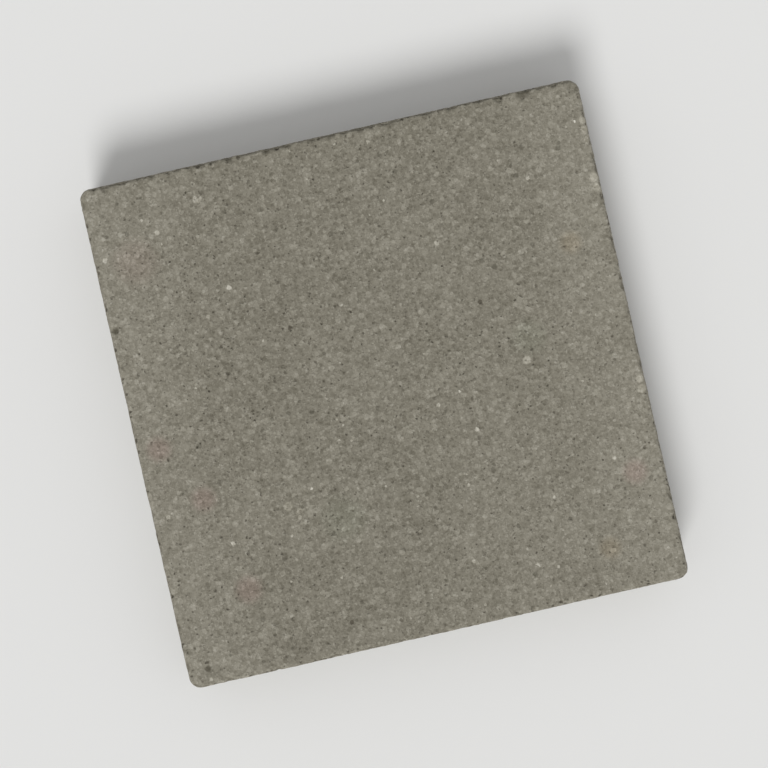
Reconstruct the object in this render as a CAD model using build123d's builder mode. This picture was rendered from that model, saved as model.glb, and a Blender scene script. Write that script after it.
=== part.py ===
from build123d import *
import os

# A square concrete paving stone, pressed in one piece.
#
# The stone is a flat slab. Its four upright corners are rounded in plan, as the steel mould
# leaves them. The edge of the wearing face has no chamfer, only a narrow arris rounded by
# pressing and wear. The edge of the bed face is sharper. The sides stand upright, because
# the mould is drawn straight off the fresh stone.
#
# The frame has its origin at the middle of the bed face, with +Z up to the wearing face and
# X and Y along the sides. All sizes are in millimetres.

# The slab: a standard 300 mm format, made 2 mm under size
length = 298.0
width = 298.0
thickness = 45.0

# The edges
corner_radius = 7.0
wearing_arris = 1.5
bed_arris = 0.8


with BuildPart() as paving_stone:
    # The plan of the mould, drawn up to the full thickness
    with BuildSketch(Plane.XY) as mould_plan:
        RectangleRounded(length, width, corner_radius)
    extrude(amount=thickness)

    # The arris all round the wearing face
    wearing_face = paving_stone.faces().sort_by(Axis.Z)[-1]
    fillet(wearing_face.edges(), radius=wearing_arris)

    # The arris all round the bed face
    bed_face = paving_stone.faces().sort_by(Axis.Z)[0]
    fillet(bed_face.edges(), radius=bed_arris)

paving_stone.part.label = "paving_stone"

os.makedirs("parts", exist_ok=True)
export_step(paving_stone.part, "parts/paving_stone.step")
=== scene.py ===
import itertools
import math

import bpy
import numpy as np
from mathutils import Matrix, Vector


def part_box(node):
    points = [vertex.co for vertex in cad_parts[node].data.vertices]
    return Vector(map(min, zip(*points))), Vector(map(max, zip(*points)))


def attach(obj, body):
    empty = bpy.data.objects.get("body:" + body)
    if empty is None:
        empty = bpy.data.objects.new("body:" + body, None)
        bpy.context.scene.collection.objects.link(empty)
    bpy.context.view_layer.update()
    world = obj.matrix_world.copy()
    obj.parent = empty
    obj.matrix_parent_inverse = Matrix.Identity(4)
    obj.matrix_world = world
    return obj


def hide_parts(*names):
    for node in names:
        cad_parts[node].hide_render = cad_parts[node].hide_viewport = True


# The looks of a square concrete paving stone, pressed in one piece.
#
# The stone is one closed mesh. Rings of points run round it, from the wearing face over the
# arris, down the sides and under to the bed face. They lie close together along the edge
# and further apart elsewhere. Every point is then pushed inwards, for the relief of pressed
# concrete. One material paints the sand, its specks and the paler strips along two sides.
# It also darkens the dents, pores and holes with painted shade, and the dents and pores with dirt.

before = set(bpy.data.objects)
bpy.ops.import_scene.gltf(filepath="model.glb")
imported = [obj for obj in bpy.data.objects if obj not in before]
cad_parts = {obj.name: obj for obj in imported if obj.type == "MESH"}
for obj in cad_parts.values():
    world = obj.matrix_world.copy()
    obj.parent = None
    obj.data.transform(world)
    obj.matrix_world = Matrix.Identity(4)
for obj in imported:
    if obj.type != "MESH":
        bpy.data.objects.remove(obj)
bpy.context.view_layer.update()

mm = 0.001

# The stone, from the frame
_, node_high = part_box("paving_stone")
half_side = node_high.x
top = node_high.z

# Its edges
corner_radius = 7 * mm
wearing_arris = 1.5 * mm
bed_arris = 0.8 * mm
straight = half_side - corner_radius

# The mesh: the points round the outline, and how far in the middle grids begin
fine_columns = 1344
coarse_columns = fine_columns // 2
grid_columns = coarse_columns // 2
grid_margin = 12 * mm
grid_half = half_side - grid_margin

# Its rows, and how near to the outline the coarse rings of the wearing face end, where the
# grid's edge is 1 and the outline is 0
fine_row = 0.9 * mm
side_row = 1.0 * mm
coarse_row = 2.0 * mm
coarse_end = 0.6
wearing_arris_rows = 5
bed_arris_rows = 3

# The map laid over the surface
face_map_width = 0.69
bed_map_width = 0.295
strip_map_height = 0.068
map_gap = 0.006


# Shapes in plan

def turned(x, y, quarters):
    """The points (x, y), each turned anticlockwise by its number of quarter turns."""
    angle = quarters * math.pi / 2
    return np.stack([x * np.cos(angle) - y * np.sin(angle), x * np.sin(angle) + y * np.cos(angle)], axis=1)


def outline(turns):
    """Points on the rounded outline and the outward directions there.

    turns go from 0 to 1, anticlockwise from the middle of the right side.
    """
    arc = math.pi / 2 * corner_radius
    quarters, part = np.divmod(np.asarray(turns) * 4, 1)
    along = part * (2 * straight + arc)
    angle = np.clip((along - straight) / corner_radius, 0, math.pi / 2)
    x = straight + corner_radius * np.cos(angle) - np.maximum(along - straight - arc, 0)
    y = np.minimum(along, straight) + corner_radius * np.sin(angle)
    return turned(x, y, quarters), turned(np.cos(angle), np.sin(angle), quarters)


def grid_outline(turns):
    """Points on the sharp square that a middle grid fills, numbered as outline() does."""
    quarters, part = np.divmod(np.asarray(turns) * 4, 1)
    x = grid_half * np.minimum(1, 2 - 2 * part)
    y = grid_half * np.minimum(1, 2 * part)
    return turned(x, y, quarters)


def inset(places):
    """How far each place lies inside the rounded outline."""
    beyond = np.abs(places[:, :2]) - straight
    outside = np.linalg.norm(np.maximum(beyond, 0), axis=1)
    inside = np.minimum(beyond.max(axis=1), 0)
    return corner_radius - outside - inside


# The mesh

class Net:
    """Gathers the points and faces of the stone."""

    def __init__(self):
        self.places = np.empty((0, 3))
        self.directions = np.empty((0, 3))
        self.spreads = np.empty((0, 2))
        self.face_groups = []

    def add_points(self, flat, height, directions, spreads):
        """Adds points at one height. spreads say where they lie when the face is laid flat."""
        first = len(self.places)
        self.places = np.vstack([self.places, np.column_stack([flat, np.full(len(flat), height)])])
        self.directions = np.vstack([self.directions, directions])
        self.spreads = np.vstack([self.spreads, spreads])
        return np.arange(first, len(self.places))

    def add_ring(self, count, height, tilt=0.0, inwards=0.0, reach=0.0, to_grid=0.0):
        """Adds a ring of points and returns their numbers.

        tilt is the angle of its outward direction from straight up. inwards is how far the
        ring lies inside the outline, and reach how far inside when the face is laid flat.
        to_grid draws it from the outline, 0, to the edge of the middle grid, 1.
        """
        turns = np.arange(count) / count
        edge, out = outline(turns)
        flat = (1 - to_grid) * (edge - out * inwards) + to_grid * grid_outline(turns)
        spreads = flat + out * (inwards - reach)
        directions = np.column_stack([out * math.sin(tilt), np.full(count, math.cos(tilt))])
        return self.add_points(flat, height, directions, spreads)

    def add_grid(self, columns, height, up):
        """Adds a middle grid and its faces, and returns the numbers of the points round it."""
        cells = columns // 4
        line = np.linspace(-grid_half, grid_half, cells + 1)
        x, y = np.meshgrid(line, line, indexing="ij")
        flat = np.column_stack([x.ravel(), y.ravel()])
        directions = np.tile([0.0, 0.0, up], (len(flat), 1))
        numbers = self.add_points(flat, height, directions, flat).reshape(x.shape)
        corners = [numbers[:-1, :-1], numbers[1:, :-1], numbers[1:, 1:], numbers[:-1, 1:]]
        faces = np.stack([corner.ravel() for corner in corners[::int(up)]], axis=1)
        self.face_groups.append((faces, np.zeros(faces.shape), "wearing" if up > 0 else "bed"))
        around = grid_outline(np.arange(columns) / columns)
        steps = np.rint((around + grid_half) / (line[1] - line[0])).astype(int)
        return numbers[steps[:, 0], steps[:, 1]]

    def add_band(self, upper, lower, island):
        """Adds the faces between two rings. One may have twice as many points as the other."""
        i = np.arange(min(len(upper), len(lower)))
        if len(upper) == len(lower):
            patterns = [((0, i), (1, i), (1, i + 1), (0, i + 1))]
        elif len(upper) > len(lower):
            patterns = [
                ((0, 2 * i), (1, i), (0, 2 * i + 1)),
                ((0, 2 * i + 1), (1, i), (1, i + 1)),
                ((0, 2 * i + 1), (1, i + 1), (0, 2 * i + 2)),
            ]
        else:
            patterns = [
                ((0, i), (1, 2 * i), (1, 2 * i + 1)),
                ((0, i), (1, 2 * i + 1), (0, i + 1)),
                ((0, i + 1), (1, 2 * i + 1), (1, 2 * i + 2)),
            ]
        rings = (upper, lower)
        for pattern in patterns:
            faces = np.stack([rings[ring][column % len(rings[ring])] for ring, column in pattern], axis=1)
            turns = np.stack([column / len(rings[ring]) for ring, column in pattern], axis=1)
            self.face_groups.append((faces, turns, island))


def steps_between(start, end, step):
    """Evenly spaced values from after start up to end, about a step apart."""
    count = max(1, round(abs(end - start) / step))
    return np.linspace(start, end, count + 1)[1:]


def arris_angles(rows):
    """The angles of the rings over a rounded arris, without its first edge."""
    return np.linspace(0, math.pi / 2, rows + 1)[1:]


def build_net():
    """Lays the rings from the middle of the wearing face to the middle of the bed face."""
    net = Net()
    ring = net.add_grid(grid_columns, top, 1)

    def next_ring(island, *place, **words):
        nonlocal ring
        new = net.add_ring(*place, **words)
        net.add_band(ring, new, island)
        ring = new

    # The wearing face outside its grid, closing up to the arris
    words = dict(inwards=wearing_arris, reach=wearing_arris)
    for to_grid in steps_between(1, coarse_end, coarse_row / grid_margin):
        next_ring("wearing", coarse_columns, top, to_grid=to_grid, **words)
    for to_grid in steps_between(coarse_end, 0, fine_row / grid_margin):
        next_ring("wearing", fine_columns, top, to_grid=to_grid, **words)

    # The arris of the wearing face
    for angle in arris_angles(wearing_arris_rows):
        words = dict(inwards=wearing_arris * (1 - math.sin(angle)), reach=wearing_arris * (1 - angle))
        next_ring("wearing", fine_columns, top - wearing_arris * (1 - math.cos(angle)), tilt=angle, **words)

    # The sides
    for height in steps_between(top - wearing_arris, bed_arris, side_row):
        next_ring("side", fine_columns, height, tilt=math.pi / 2, reach=bed_arris * (1 - math.pi / 2))

    # The arris of the bed face
    for angle in arris_angles(bed_arris_rows):
        words = dict(inwards=bed_arris * (1 - math.cos(angle)), reach=bed_arris * (angle - math.pi / 2 + 1))
        height = bed_arris * (1 - math.sin(angle))
        next_ring("bed", coarse_columns, height, tilt=math.pi / 2 + angle, **words)

    # The bed face outside its grid
    words = dict(inwards=bed_arris, reach=bed_arris)
    for to_grid in steps_between(0, 1, coarse_row / grid_margin)[:-1]:
        next_ring("bed", coarse_columns, 0.0, tilt=math.pi, to_grid=to_grid, **words)
    net.add_band(ring, net.add_grid(grid_columns, 0.0, -1), "bed")
    return net


def map_places(net, faces, turns, island):
    """Where the corners of some faces lie on the map."""
    if island == "wearing":
        scale = face_map_width / (2 * half_side + 2 * wearing_arris)
        return net.spreads[faces] * scale + map_gap + face_map_width / 2
    if island == "bed":
        scale = bed_map_width / (2 * half_side + 2 * bed_arris)
        spread = net.spreads[faces] * scale * (-1, 1)
        return spread + (1 - map_gap - bed_map_width / 2, map_gap + bed_map_width / 2)
    # Each side is a strip from the middle of one corner to the middle of the next
    quarters = turns * 4 - 0.5
    strip = np.floor(quarters.min(axis=1, keepdims=True))
    u = map_gap + (quarters - strip) * face_map_width
    drop = (net.places[faces][..., 2] - bed_arris) / (top - wearing_arris - bed_arris)
    v = face_map_width + 2 * map_gap + (strip % 4) * (strip_map_height + map_gap) + drop * strip_map_height
    return np.stack([u, v], axis=-1)


# The relief

# How many cells a noise has along each axis before it repeats
noise_cells = 64

# The layers of the uneven skin of each kind of face: how deep, and how wide their lumps are
face_layers = [
    dict(depth=0.16 * mm, grain=48 * mm, seed=1),
    dict(depth=0.07 * mm, grain=2.4 * mm, seed=2),
]
side_layers = [
    dict(depth=0.16 * mm, grain=(1.6 * mm, 1.6 * mm, 22 * mm), seed=3),
    dict(depth=0.14 * mm, grain=3.2 * mm, seed=4),
]
bed_layers = [
    dict(depth=0.2 * mm, grain=4 * mm, seed=5),
    dict(depth=0.2 * mm, grain=30 * mm, seed=6),
]

# The worn shoulder of the upper arris
shoulder_width = 4.5 * mm
shoulder_depth = 0.5 * mm
shoulder_waves = 0.3 * mm
shoulder_grain = 14 * mm
shoulder_seed = 9

# The crumbled line of the upper arris. It is whole where the noise is under least
crumbling_width = 2.2 * mm
crumbling_layers = [
    dict(depth=0.5 * mm, grain=1.8 * mm, seed=7, least=0.0),
    dict(depth=1.0 * mm, grain=7 * mm, seed=8, least=0.1),
]

# How far and how finely the rims of the dents are bent, with one seed for each direction
rim_bend = 1.2 * mm
rim_grain = 2.6 * mm
rim_seeds = (31, 32, 33)
fine_rim_seeds = (41, 42, 43)

# The higher wall_power is, the steeper is a dent's wall. The lower size_power is, the more of
# the strewn dents are small
wall_power = 3
size_power = 0.4

# The pits and worn places of the wearing face that stand out, as (x, y, radius, depth) in
# millimetres
named_pits = [
    (-145, 65, 2.4, 1.2),
    (-136.5, -138.5, 2.5, 1.1),
    (145.5, 145, 4.0, 0.8),
    (116, 147, 4.5, 1.4),
    (102, 147.5, 3.5, 1.2),
]

# What is strewn at random. The side at the head of the photograph is the most crumbled
arris_heights = (top - 0.6 * mm, top)
arris_crumbs = dict(
    seed=22, count=340, heights=arris_heights, radii=(0.8 * mm, 2.8 * mm), depths=(0.3 * mm, 1.2 * mm))
head_crumbs = dict(
    seed=25, count=150, heights=arris_heights, radii=(1.2 * mm, 3.3 * mm), depths=(0.5 * mm, 1.6 * mm),
    turns=(0.13, 0.37))
bed_pits = dict(seed=24, count=260, height=0.0, radii=(1.8 * mm, 4.0 * mm), depths=(0.5 * mm, 1.6 * mm))

# The voids in the sides are wider than they are high, and get shallow under the wearing face
void_flatness = 1.7
void_margin = 5 * mm
side_voids = dict(
    seed=23, count=420, heights=(0.0, top * void_flatness), radii=(1.0 * mm, 4.4 * mm),
    depths=(0.5 * mm, 2.2 * mm))

# The depth from which a dent's painted shade and dirt are at their darkest, and how steeply a
# closed skin turns into an open one over the arris
darkest_depth = 1.4 * mm
skin_slope = 1.5


def noise(places, grain, seed):
    """Smooth random values from -1 to 1, in lumps about a grain wide.

    grain is one size or a size for each axis.
    """
    lattice = np.random.default_rng(seed).uniform(-1, 1, (noise_cells,) * 3)
    spots = places / grain
    low = np.floor(spots).astype(int)
    part = spots - low
    part = part * part * (3 - 2 * part)
    total = np.zeros(len(places))
    for corner in itertools.product((0, 1), repeat=3):
        share = np.prod(np.where(corner, part, 1 - part), axis=1)
        x, y, z = ((low + corner) % noise_cells).T
        total += share * lattice[x, y, z]
    return total


def rough(places, layers):
    """How deep the places lie in the uneven skin of one kind of face."""
    return sum(layer["depth"] * (1 + noise(places, layer["grain"], layer["seed"])) / 2 for layer in layers)


def dents(bent, centres, radii, depths):
    """How deep each place lies in some dents. The places are bent, so that no dent is round."""
    depth = np.zeros(len(bent))
    for centre, radius, deepest in zip(centres, radii, depths):
        near = np.flatnonzero(np.abs(bent - centre).max(axis=1) < radius)
        away = np.linalg.norm(bent[near] - centre, axis=1) / radius
        bowl = deepest * np.clip(1 - away ** wall_power, 0, 1)
        depth[near] = np.maximum(depth[near], bowl)
    return depth


def strewn(bent, random, centres, radii, depths):
    """How deep each place lies in dents at the given centres, of random sizes."""
    size = random.power(size_power, len(centres))
    return dents(bent, centres, np.interp(size, (0, 1), radii), np.interp(size, (0, 1), depths))


def face_dents(bent, seed, count, height, radii, depths):
    """Pits strewn over the face that lies at the given height."""
    random = np.random.default_rng(seed)
    flat = random.uniform(-half_side, half_side, (count, 2))
    return strewn(bent, random, np.column_stack([flat, np.full(count, height)]), radii, depths)


def side_dents(bent, seed, count, heights, radii, depths, turns=(0, 1)):
    """Voids or crumbs strewn round the outline, between two heights and two turns."""
    random = np.random.default_rng(seed)
    edge, _ = outline(random.uniform(*turns, count))
    return strewn(bent, random, np.column_stack([edge, random.uniform(*heights, count)]), radii, depths)


def arris_wear(places):
    """How deep the upper arris is crumbled, and its shoulder is worn."""
    from_arris = np.hypot(inset(places), top - places[:, 2])
    shoulder = np.clip(1 - from_arris / shoulder_width, 0, 1) ** 2
    wear = shoulder * (shoulder_depth + shoulder_waves * noise(places, shoulder_grain, shoulder_seed))
    near_arris = np.exp(-(from_arris / crumbling_width) ** 2)
    for layer in crumbling_layers:
        lumps = noise(places, layer["grain"], layer["seed"])
        wear += near_arris * layer["depth"] * np.maximum(lumps - layer["least"], 0)
    return wear


def all_dents(places):
    """How deep each place lies in the pits, crumbs and voids."""
    large = np.stack([noise(places, rim_grain, seed) for seed in rim_seeds], axis=1)
    small = np.stack([noise(places, rim_grain / 2, seed) for seed in fine_rim_seeds], axis=1)
    bent = places + rim_bend * (large + small / 2)
    heights = places[:, 2]

    # The rims of the named pits are bent in plan alone, so that the pits keep their places
    x, y, radii, depths = np.array(named_pits).T * mm
    centres = np.column_stack([x, y, np.full(len(x), top)])
    pits = dents(np.column_stack([bent[:, :2], heights]), centres, radii, depths)

    voids = side_dents(bent * (1, 1, void_flatness), **side_voids)
    voids *= np.clip((top - heights) / void_margin, 0, 1)
    crumbs = [side_dents(bent, **arris_crumbs), side_dents(bent, **head_crumbs)]
    return np.maximum.reduce([pits, voids, face_dents(bent, **bed_pits), *crumbs])


def relief(places, directions):
    """How deep each point is pushed in, and how much of that is a pit, a crumb or a void."""
    up = directions[:, 2]
    depth = np.clip(up, 0, 1) * rough(places, face_layers)
    depth += np.hypot(directions[:, 0], directions[:, 1]) * rough(places, side_layers)
    depth += np.clip(-up, 0, 1) * rough(places, bed_layers)
    depth += arris_wear(places)
    dented = all_dents(places)
    return depth + dented, dented


def add_number(mesh, name, values):
    """Stores one number for each point of the mesh, for the material."""
    mesh.attributes.new(name, "FLOAT", "POINT").data.foreach_set("value", values)


def make_stone():
    """Builds the mesh of the stone with its relief, its map and the numbers its material reads."""
    net = build_net()
    depth, dented = relief(net.places, net.directions)
    places = net.places - net.directions * depth[:, None]
    faces = [face for group, _, _ in net.face_groups for face in group.tolist()]
    corners = [map_places(net, *group).reshape(-1, 2) for group in net.face_groups]

    mesh = bpy.data.meshes.new("pressed_stone")
    mesh.from_pydata(places.tolist(), [], faces)
    mesh.shade_smooth()
    mesh.uv_layers.new(name="OFBake").data.foreach_set("uv", np.vstack(corners).ravel())
    # How deep each point lies in a dent, for the painted shade and dirt there
    add_number(mesh, "dent", np.clip(dented / darkest_depth, 0, 1))
    add_number(mesh, "open_skin", 1 - np.clip(net.directions[:, 2] * skin_slope, 0, 1))
    stone = bpy.data.objects.new("pressed_stone", mesh)
    bpy.context.collection.objects.link(stone)
    return stone


# The material

# The colour of the stone where its lightness is 1. The lighter a grain is, the less yellow
# it is, because red and blue follow powers of the lightness
concrete_colour = (0.2203, 0.2050, 0.1630)
red_power = 0.97
blue_power = 1.1

# The lightness of the cement, and how it varies, in noises with lumps of some sizes
cement = 0.963
clouds = dict(size=60 * mm, seed=2, contrast=0.11)
blotches = dict(size=12 * mm, seed=3, contrast=0.03, detail=3)
flecks = dict(size=3 * mm, seed=4, contrast=0.1, detail=3)

# The paler strips along the left and right, where more cement paste was pressed out
strip_start = 6 * mm
strip_end = 62 * mm
strip_lightness = 0.14
strip_evenness = 0.95
strip_waves = dict(size=30 * mm, seed=1, contrast=0.5, detail=3)

# A broad pale patch right of the middle
patch_middle = (82 * mm, -62 * mm, top)
patch_start = 25 * mm
patch_end = 105 * mm
patch_lightness = 0.05

# The grains of sand: how their places are shifted, so that none is round, and their sizes
shift_size = 1.5 * mm
shift = 1.4 * mm
coarse_sand = dict(size=3.4 * mm, seed=5, contrast=0.44)
middle_sand = dict(size=2.0 * mm, seed=6, contrast=0.46)
fine_sand = dict(size=1.1 * mm, seed=11, contrast=0.46)

# Where the rim of a grain begins and ends, as a share of the size
rim_start = 0.45
rim_end = 0.62

# The white and the dull grains, and the pinholes in the wearing face. number says which of a
# grain's random numbers picks them and rarity how many, reach is how much of a grain's place
# one fills, and edge is where its rim begins
white_grains = dict(number=1, rarity=0.0026, reach=0.48, edge=0.6)
dull_grains = dict(number=0, rarity=0.01, reach=0.55, edge=0.55)
pinholes = dict(number=2, rarity=0.085, reach=0.51, edge=0.48)

# The open skin of the sides and the bed: streaked by the mould, and full of pores
streaks = dict(size=2.2 * mm, seed=12, contrast=0.5, detail=3, stretch=(1, 1, 0.1))
streak_contrast = 0.22
pores = dict(size=2.4 * mm, seed=16)
pore_start = 0.24
pore_end = 0.44

# How dark the painted shade and dirt are in a dent and in a pore
dent_shade_and_dirt = 0.6
pore_shade_and_dirt = 0.72

# The relief that is too fine for the mesh, in millimetres
middle_relief = 0.5
fine_relief = 0.35
grit = dict(size=1.4 * mm, seed=10, contrast=0.16, detail=3)
pinhole_relief = -0.5
pore_relief = -0.6
streak_relief = 0.35

# The roughness, from the dull flecks to the lighter ones
dull_roughness = 0.94
light_roughness = 0.84
fleck_range = (-0.1, 0.1)
specular_level = 0.3

# The tints of grains and holes, which multiply the colour. The two darkest are painted shade: in the named
# pits, with dust, and in the pinholes and small holes
white = (1.80, 1.83, 1.92)
pale = (1.48, 1.49, 1.52)
dull = (0.76, 0.76, 0.75)
pit_shade_and_dust = (0.70, 0.69, 0.67)
painted_hole_shade = (0.45, 0.43, 0.40)

# The tints of stains, which multiply it too
red = (1.09, 0.98, 1.01)
faint_red = (1.04, 0.99, 1.00)
green = (0.97, 1.00, 0.98)
tan = (1.02, 0.97, 0.91)
worn = (0.88, 0.88, 0.87)

# The grains and small holes that stand out on the wearing face, and its stains, as (x, y,
# radius, tint) in millimetres. A mark fades from a share of its radius outwards
grain_core = 0.6
grain_marks = [
    (-82, 129, 3.2, white),
    (-109, 115, 1.8, white),
    (-142, 106, 1.8, white),
    (48, 73, 1.8, white),
    (84, -5, 2.9, white),
    (28, -19, 1.6, white),
    (-106, -71, 1.5, white),
    (108, 98, 1.3, white),
    (82, -86, 1.1, white),
    (28, -112, 1.4, white),
    (-136, -145, 1.4, white),
    # Painted shade, with dust, in the two named pits
    (-136.5, -138.5, 2.4, pit_shade_and_dust),
    (-145, 65, 2.2, pit_shade_and_dust),
    (-70, -57, 3.2, pale),
    (-64, -61, 2.0, pale),
    (146.5, 124, 2.6, pale),
    (146.5, 118, 3.0, pale),
    (146.5, 112, 2.6, pale),
    (145.5, 90, 3.4, pale),
    (146, 84, 2.8, pale),
    (145.5, -30, 2.8, pale),
    (145.5, -36, 3.2, pale),
    # Painted shade in small holes
    (-46, 44, 1.7, painted_hole_shade),
    (65, 34, 1.8, painted_hole_shade),
    (-49, -131, 1.6, painted_hole_shade),
]
stain_core = 0.3
stain_marks = [
    (-136, -8, 10, red),
    (-117, -42, 10, red),
    (-103, -99, 11, red),
    (131, -82, 10, red),
    (-125, 101, 18, faint_red),
    (88, 8, 14, green),
    (-40, -71, 18, green),
    (124, 56, 9, tan),
    (107, -122, 9, tan),
    (-135, -143, 8, worn),
    (-144, -148, 5, worn),
]


class Shader:
    """Adds nodes to a material and joins them."""

    # How far apart the patterns of two seeds lie in the same noise
    seed_step = (0.37, 0.61, 0.23)

    # The middle value of a noise texture, and how fine a plain one is
    noise_middle = 0.5
    plain_detail = 2.0

    # The numbers of a colour mix's sockets, because sockets for other kinds share their names
    mix_share = 0
    mix_first = 6
    mix_second = 7
    mix_result = 2

    def __init__(self, name):
        self.material = bpy.data.materials.new(name)
        self.material.use_nodes = True
        self.tree = self.material.node_tree
        self.principled = self.tree.nodes["Principled BSDF"]
        self.place = self.add("ShaderNodeTexCoord").outputs["Object"]

    def add(self, kind, inputs=None, **settings):
        """Adds a node. An input is either a value or an output of another node."""
        node = self.tree.nodes.new(kind)
        for name, value in settings.items():
            setattr(node, name, value)
        self.fill(node, inputs or {})
        return node

    def fill(self, node, inputs):
        """Joins or sets the inputs of a node."""
        for name, value in inputs.items():
            if isinstance(value, bpy.types.NodeSocket):
                self.tree.links.new(value, node.inputs[name])
            else:
                node.inputs[name].default_value = value

    def math(self, operation, *values):
        """The result of one step of arithmetic."""
        inputs = dict(enumerate(values))
        return self.add("ShaderNodeMath", inputs, operation=operation).outputs[0]

    def product(self, first, second):
        """Two values multiplied."""
        return self.math("MULTIPLY", first, second)

    def total(self, first, *others):
        """All the values added up."""
        for other in others:
            first = self.math("ADD", first, other)
        return first

    def vector_math(self, operation, *values):
        """A node for one step of arithmetic with places."""
        inputs = dict(enumerate(values))
        return self.add("ShaderNodeVectorMath", inputs, operation=operation)

    def distance(self, place, middle):
        """How far one place is from another."""
        return self.vector_math("DISTANCE", place, middle).outputs["Value"]

    def range(self, value, start, end, low=0.0, high=1.0):
        """Follows value smoothly from start to end, and gives from low to high."""
        inputs = {"Value": value, "From Min": start, "From Max": end, "To Min": low, "To Max": high}
        return self.add("ShaderNodeMapRange", inputs, interpolation_type="SMOOTHSTEP").outputs["Result"]

    def number(self, name):
        """A number that the mesh stores for each point."""
        return self.add("ShaderNodeAttribute", attribute_name=name).outputs["Fac"]

    def moved(self, place, seed, stretch=(1, 1, 1)):
        """The place, moved so that each pattern is its own."""
        step = tuple(seed * part for part in self.seed_step)
        return self.vector_math("MULTIPLY_ADD", place, stretch, step).outputs[0]

    def shifted(self, size, amount):
        """The place on the stone, shifted unevenly, so that what is drawn there is not round."""
        inputs = {"Vector": self.place, "Scale": 1 / size, "Detail": self.plain_detail}
        waves = self.add("ShaderNodeTexNoise", inputs).outputs["Color"]
        centred = self.vector_math("SUBTRACT", waves, (self.noise_middle,) * 3).outputs[0]
        return self.vector_math("MULTIPLY_ADD", centred, (amount, amount, amount), self.place).outputs[0]

    def noise(self, size, seed, contrast=1.0, detail=plain_detail, stretch=(1, 1, 1)):
        """A noise round 0 with lumps about size across, contrast deep."""
        inputs = {"Vector": self.moved(self.place, seed, stretch), "Scale": 1 / size, "Detail": detail}
        value = self.add("ShaderNodeTexNoise", inputs).outputs["Fac"]
        slope = contrast / self.noise_middle
        return self.math("MULTIPLY_ADD", value, slope, -contrast)

    def multiplied(self, colour, tint, share=1.0):
        """The colour, multiplied by the tint as far as share says."""
        node = self.add("ShaderNodeMix", data_type="RGBA", blend_type="MULTIPLY")
        self.fill(node, {self.mix_share: share, self.mix_first: colour, self.mix_second: tint})
        return node.outputs[self.mix_result]


class Sand:
    """Grains of one size, each with random numbers of its own."""

    # Most grains are a little dull and a few much lighter, because a grain's lightness follows
    # its random number to the power of skew. The average of that power is taken off
    skew = 2
    skewed_mean = 1 / (skew + 1)

    def __init__(self, shader, place, size, seed, contrast):
        inputs = {"Vector": shader.moved(place, seed), "Scale": 1 / size}
        grains = shader.add("ShaderNodeTexVoronoi", inputs)
        self.shader = shader
        self.numbers = shader.add("ShaderNodeSeparateColor", {"Color": grains.outputs["Color"]}).outputs
        self.from_middle = grains.outputs["Distance"]
        skewed = shader.math("POWER", self.numbers[0], self.skew)
        lightness = shader.math("MULTIPLY_ADD", skewed, contrast, -contrast * self.skewed_mean)
        inside = shader.range(self.from_middle, rim_start, rim_end, 1.0, 0.0)
        self.lightness = shader.product(lightness, inside)

    def spots(self, number, rarity, reach, edge):
        """Some of the grains, 1 in their middles and 0 outside."""
        chosen = self.shader.math("LESS_THAN", self.numbers[number], rarity)
        inside = self.shader.range(self.from_middle, edge * reach, reach, 1.0, 0.0)
        return self.shader.product(chosen, inside)


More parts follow.
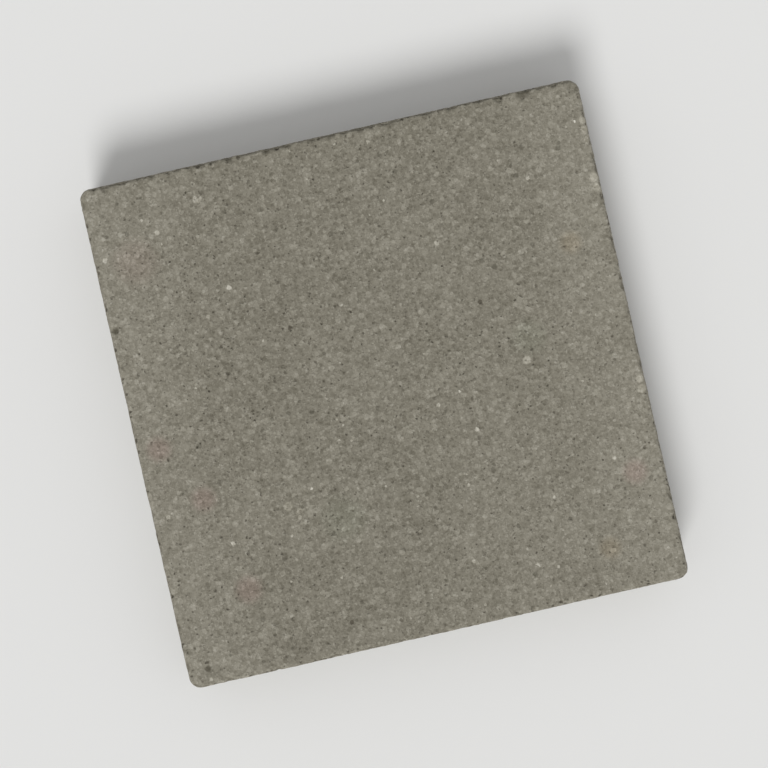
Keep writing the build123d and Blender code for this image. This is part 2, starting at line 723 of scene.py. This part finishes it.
class Concrete(Shader):
    """Dry pressed concrete: fine sand in cement, with paler strips along its left and right."""

    def __init__(self):
        super().__init__("concrete")
        self.open_skin = self.number("open_skin")
        self.flecks = self.noise(**flecks)
        self.streaks = self.product(self.noise(**streaks), self.open_skin)
        self.pores = self.product(self.range(self.noise(**pores), pore_start, pore_end), self.open_skin)
        self.grain_place = self.shifted(shift_size, shift)
        self.coarse = Sand(self, self.grain_place, **coarse_sand)
        self.middle = Sand(self, self.grain_place, **middle_sand)
        self.fine = Sand(self, self.grain_place, **fine_sand)
        self.pinholes = self.strewn_pinholes()
        self.fill(self.principled, {
            "Base Color": self.colour(),
            "Roughness": self.range(self.flecks, *fleck_range, dull_roughness, light_roughness),
            "Normal": self.normal(),
            "Specular IOR Level": specular_level,
        })

    def strewn_pinholes(self):
        """The pinholes in the closed skin of the wearing face."""
        both = self.math("MAXIMUM", self.coarse.spots(**pinholes), self.middle.spots(**pinholes))
        return self.product(both, self.math("SUBTRACT", 1.0, self.open_skin))

    def pale_places(self):
        """How much lighter the two side strips and the broad patch are."""
        x = self.add("ShaderNodeSeparateXYZ", {0: self.place}).outputs[0]
        from_sides = self.math("SUBTRACT", half_side, self.math("ABSOLUTE", x))
        strips = self.range(from_sides, strip_start, strip_end, strip_lightness, 0.0)
        uneven = self.math("ADD", self.noise(**strip_waves), strip_evenness)
        from_patch = self.distance(self.place, patch_middle)
        patch = self.range(from_patch, patch_start, patch_end, patch_lightness, 0.0)
        return self.math("MULTIPLY_ADD", strips, uneven, patch)

    def lightness(self):
        """The lightness of the cement and its sand. Dents and pores are darkened by painted shade and dirt.
        """
        sand = self.total(self.coarse.lightness, self.middle.lightness, self.fine.lightness)
        cloudy = self.total(self.noise(**clouds), self.noise(**blotches), self.flecks)
        streaked = self.product(self.streaks, streak_contrast)
        lightness = self.total(self.pale_places(), cloudy, sand, streaked, cement)
        # Painted shade and dirt in the dents and the pores
        lightness = self.product(lightness, self.range(self.number("dent"), 0, 1, 1.0, dent_shade_and_dirt))
        return self.product(lightness, self.range(self.pores, 0, 1, 1.0, pore_shade_and_dirt))

    def colour(self):
        """The colour of the concrete, with its white and dull grains, the painted shade in its holes and
        pits, and its dust and stains.
        """
        lightness = self.lightness()
        shades = self.add("ShaderNodeCombineColor", {
            "Red": self.math("POWER", lightness, red_power),
            "Green": lightness,
            "Blue": self.math("POWER", lightness, blue_power),
        })
        colour = self.multiplied(shades.outputs[0], (*concrete_colour, 1))
        # Painted shade in the pinholes
        colour = self.multiplied(colour, (*painted_hole_shade, 1), self.pinholes)
        for sand in (self.coarse, self.middle):
            colour = self.multiplied(colour, (*white, 1), sand.spots(**white_grains))
            colour = self.multiplied(colour, (*dull, 1), sand.spots(**dull_grains))
        for marks, core in ((grain_marks, grain_core), (stain_marks, stain_core)):
            for x, y, radius, tint in marks:
                from_mark = self.distance(self.grain_place, (x * mm, y * mm, top))
                share = self.range(from_mark, core * radius * mm, radius * mm, 1.0, 0.0)
                colour = self.multiplied(colour, (*tint, 1), share)
        return colour

    def normal(self):
        """The surface's own direction, bent by the fine relief."""
        height = self.total(
            self.product(self.middle.lightness, middle_relief),
            self.product(self.fine.lightness, fine_relief),
            self.product(self.noise(**grit), self.math("ADD", self.open_skin, 1.0)),
            self.product(self.pinholes, pinhole_relief),
            self.product(self.pores, pore_relief),
            self.product(self.streaks, streak_relief),
        )
        bump = self.add("ShaderNodeBump", {"Height": height, "Distance": mm, "Strength": 1.0})
        return bump.outputs["Normal"]


# The studio

# The photograph looks straight down, with the stone turned in the picture by this much
picture_turn = math.radians(-12.85)
view_width = 446 * mm
lens = 85
sensor = 36

# The sky's light, and how pale it looks behind the floor
sky = 0.53
backdrop = 0.76

# One broad soft lamp shines from the foot of the picture
sun_strength = 2.05
sun_width = math.radians(25)
sun_tilt = math.radians(42)
sun_turn = math.radians(-22)

# The floor
floor_half = 6.0
floor_colour = (0.74, 0.74, 0.73)
floor_roughness = 0.9


def add_floor():
    """A plain pale floor."""
    corners = [(-floor_half, -floor_half, 0), (floor_half, -floor_half, 0), (floor_half, floor_half, 0),
               (-floor_half, floor_half, 0)]
    mesh = bpy.data.meshes.new("floor")
    mesh.from_pydata(corners, [], [(0, 1, 2, 3)])
    floor = bpy.data.objects.new("floor", mesh)
    bpy.context.collection.objects.link(floor)
    material = bpy.data.materials.new("floor")
    material.use_nodes = True
    paint = material.node_tree.nodes["Principled BSDF"].inputs
    paint["Base Color"].default_value = (*floor_colour, 1)
    paint["Roughness"].default_value = floor_roughness
    floor.data.materials.append(material)


def add_sky():
    """An even sky. The camera and reflections see it as pale as the floor."""
    world = bpy.data.worlds.new("studio")
    world.use_nodes = True
    bpy.context.scene.world = world
    nodes = world.node_tree.nodes
    links = world.node_tree.links
    rays = nodes.new("ShaderNodeLightPath").outputs
    seen = rays["Is Camera Ray"]
    for ray in ("Is Glossy Ray", "Is Transmission Ray"):
        either = nodes.new("ShaderNodeMath")
        either.operation = "MAXIMUM"
        links.new(seen, either.inputs[0])
        links.new(rays[ray], either.inputs[1])
        seen = either.outputs[0]
    strength = nodes.new("ShaderNodeMapRange")
    strength.inputs["To Min"].default_value = sky
    strength.inputs["To Max"].default_value = backdrop
    links.new(seen, strength.inputs["Value"])
    background = nodes["Background"].inputs
    background["Color"].default_value = (1, 1, 1, 1)
    links.new(strength.outputs["Result"], background["Strength"])


def add_sun():
    """The soft lamp, which throws the shadow on the floor."""
    sun = bpy.data.lights.new("key", "SUN")
    sun.energy = sun_strength
    sun.angle = sun_width
    key = bpy.data.objects.new("key", sun)
    key.rotation_euler = (sun_tilt, 0, sun_turn)
    bpy.context.collection.objects.link(key)


def add_camera():
    """The camera of the photograph, but nearer, so that the stone fills the picture."""
    camera = bpy.data.objects.new("camera", bpy.data.cameras.new("camera"))
    camera.data.lens = lens
    camera.data.sensor_width = sensor
    camera.location = (0, 0, top + view_width * lens / sensor)
    camera.rotation_euler = (0, 0, picture_turn)
    bpy.context.collection.objects.link(camera)
    bpy.context.scene.camera = camera


stone = make_stone()
stone.data.materials.append(Concrete().material)
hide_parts("paving_stone")
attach(stone, "root")

add_floor()
add_sky()
add_sun()
add_camera()
bpy.context.scene.view_settings.view_transform = "Standard"
